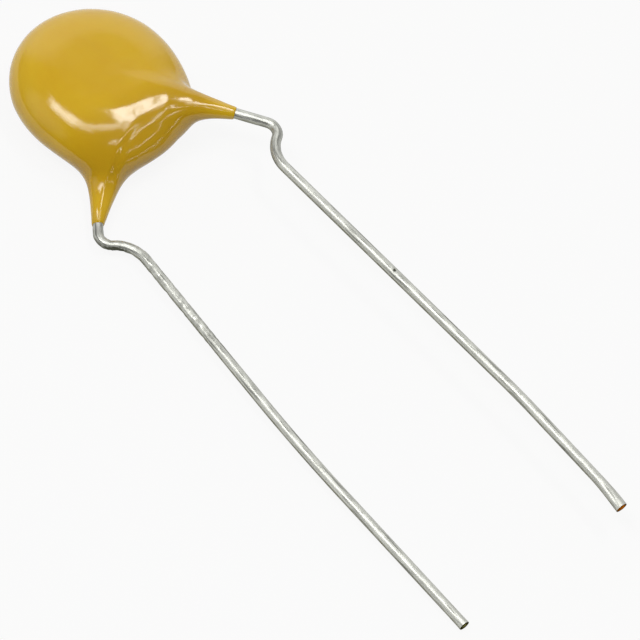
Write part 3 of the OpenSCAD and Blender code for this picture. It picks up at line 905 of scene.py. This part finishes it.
def draw_white_table(t):
    place = add(t, "ShaderNodeTexCoord").outputs["Object"]
    # Fine tooth of the paper, drawn coarse at 2 mm
    tooth = add(t, NOISE, {"Vector": place, "Scale": 1 / (2 * MM)})
    bump = add(t, "ShaderNodeBump", {"Height": tooth.outputs[0], "Strength": 0.02,
               "Distance": 0.1 * MM})
    lit = add(t, "ShaderNodeBsdfDiffuse", {"Color": tone("#c9c9c7"), "Normal": bump})
    own = add(t, "ShaderNodeEmission", {"Color": (1, 1, 1, 1), "Strength": 1.0})
    share = add(t, MATH, [is_looked_at(t), 0.9], **TIMES)
    return add(t, "ShaderNodeMixShader", [share, lit, own])


HALF = 3.0
floor_mesh = bpy.data.meshes.new("table")
floor_mesh.from_pydata([(-HALF, -HALF, 0), (HALF, -HALF, 0), (HALF, HALF, 0),
                        (-HALF, HALF, 0)], [], [(0, 1, 2, 3)])
floor_mesh.materials.append(finish("Matt white table", draw_white_table))
floor = bpy.data.objects.new("table", floor_mesh)
bpy.context.scene.collection.objects.link(floor)
print("table:", 2 * HALF, "m square")

# %% [markdown]
# ## Room
# Gloss and metal show what stands round them, so the room is graded as a small studio is:
# dim on the camera's side, lighter overhead, with a pale card behind the part and a pale
# screen to its left. The card gives the disc's far rim and the upper sides of the wires
# their sheen, and the dim wall gives the wires their dark edge.

# %% A dim room with a card and a screen
NEAR_WALL, CEILING, FAR_CARD, LEFT_SCREEN = 0.05, 0.24, 1.04, 0.6
CARD_AT, SCREEN_AT = Vector((0.597, 0.764, 0.242)), Vector((-0.80, 0.33, 0.50))
world = bpy.data.worlds.new("Dim studio with a pale card and a pale screen")
bpy.context.scene.world = world
world.use_nodes = True
world.node_tree.nodes.clear()
t = world.node_tree
direction = add(t, "ShaderNodeTexCoord").outputs["Generated"]
to_card = add(t, VECTOR, [direction, CARD_AT.normalized()], **DOT).outputs["Value"]
room = add(t, RANGE, {"Value": to_card, "From Min": -0.6, "From Max": 0.6,
           "To Min": NEAR_WALL, "To Max": CEILING}, **EASED)
card = add(t, RANGE, {"Value": to_card, "From Min": 0.69, "From Max": 0.86}, **EASED)
level = add(t, MATH, [card, FAR_CARD - CEILING, room], **TIMES_PLUS)
to_screen = add(t, VECTOR, [direction, SCREEN_AT.normalized()], **DOT).outputs["Value"]
screen = add(t, RANGE, {"Value": to_screen, "From Min": 0.84, "From Max": 0.99}, **EASED)
level = add(t, MATH, [screen, LEFT_SCREEN, level], **TIMES_PLUS)
add(t, "ShaderNodeOutputWorld", [add(t, "ShaderNodeBackground", {
    "Strength": level, "Color": (1, 1, 1, 1)})])
print("near wall", NEAR_WALL, "ceiling", CEILING, "far card", FAR_CARD, "left screen",
      LEFT_SCREEN)

# %% [markdown]
# ## Lamps
# Soft lamps do the rest. The gloss shows a lamp's shape, so each one is a flat strip that is
# placed by where its reflection falls. A ray from the eye that bounces off the coating meets
# a ceiling over the disc at one place, and a highlight in the photograph is the outline of
# such places. The panel on the left, the corner and the front strip make the long crescent
# on the coating's shoulder, and a wider, weaker glow round each softens its edges. The panel
# on the right makes the broad highlight beside the front horn. The three tubes make the
# streaks on the web's folds and the bright line along the wires.

# %% Strips of a softly lit ceiling
LAMP_HEIGHT = 0.45
disc_middle = to_row.translation.copy()


def ceiling_lamp(name, start, end, width, radiance):
    """A flat strip lamp that faces down. Its ends are places on a ceiling 1 high."""
    a = disc_middle + LAMP_HEIGHT * Vector((*start, 1))
    b = disc_middle + LAMP_HEIGHT * Vector((*end, 1))
    light = bpy.data.lights.new(name, "AREA")
    light.shape = "RECTANGLE"
    light.size, light.size_y = (b - a).length, LAMP_HEIGHT * width
    light.energy = math.pi * light.size * light.size_y * radiance
    holder = bpy.data.objects.new(name, light)
    holder.location = (a + b) / 2
    holder.rotation_euler = (0, 0, math.atan2(b.y - a.y, b.x - a.x))
    bpy.context.scene.collection.objects.link(holder)
    print(name, [round(v, 3) for v in holder.location], round(light.energy, 2), "W")


ceiling_lamp("left_panel", (-0.42, 0.36), (-0.40, -0.09), width=0.21, radiance=8.5)
ceiling_lamp("left_glow", (-0.44, 0.42), (-0.44, -0.13), width=0.38, radiance=3.6)
ceiling_lamp("corner_glow", (-0.44, -0.11), (-0.27, -0.21), width=0.19, radiance=4.0)
ceiling_lamp("front_strip", (-0.29, -0.17), (0.16, -0.31), width=0.07, radiance=5.5)
ceiling_lamp("front_glow", (-0.27, -0.21), (0.20, -0.33), width=0.15, radiance=3.2)
ceiling_lamp("right_panel", (0.20, -0.26), (0.31, 0.08), width=0.125, radiance=13.5)
ceiling_lamp("near_tube", (-0.28, -0.60), (0.36, -0.64), width=0.022, radiance=18.0)
ceiling_lamp("middle_tube", (-0.20, -1.28), (0.60, -1.28), width=0.03, radiance=17.0)
ceiling_lamp("far_tube", (-0.20, -4.80), (2.40, -4.80), width=0.30, radiance=11.0)

# %% [markdown]
# ## Camera
# The wire's width and the two leads' places in the photograph fix the view: about half a
# metre away with a long lens, above and to the left of the leads. A long lens keeps the two
# leads nearly parallel, as they are in the photograph.

# %% Camera
CAMERA_AT = Vector((-0.220887, -0.175642, 0.407763))
camera_data = bpy.data.cameras.new("camera")
camera_data.sensor_width, camera_data.lens = 36.0, 506.17
camera_data.clip_start, camera_data.clip_end = 0.05, 20.0
camera = bpy.data.objects.new("camera", camera_data)
bpy.context.scene.collection.objects.link(camera)
look = Vector((0.44789, 0.35080, -0.82240)).normalized()
up = Vector((0.48233, 0.67969, 0.55261)).normalized()
right = look.cross(up).normalized()
up = right.cross(look)
turned = Matrix((right, up, -look)).transposed().to_4x4()
camera.matrix_world = Matrix.Translation(CAMERA_AT) @ turned
bpy.context.scene.camera = camera
print("camera at", [round(v, 3) for v in camera.location], "lens", camera_data.lens)

bpy.context.scene.view_settings.view_transform = "Standard"
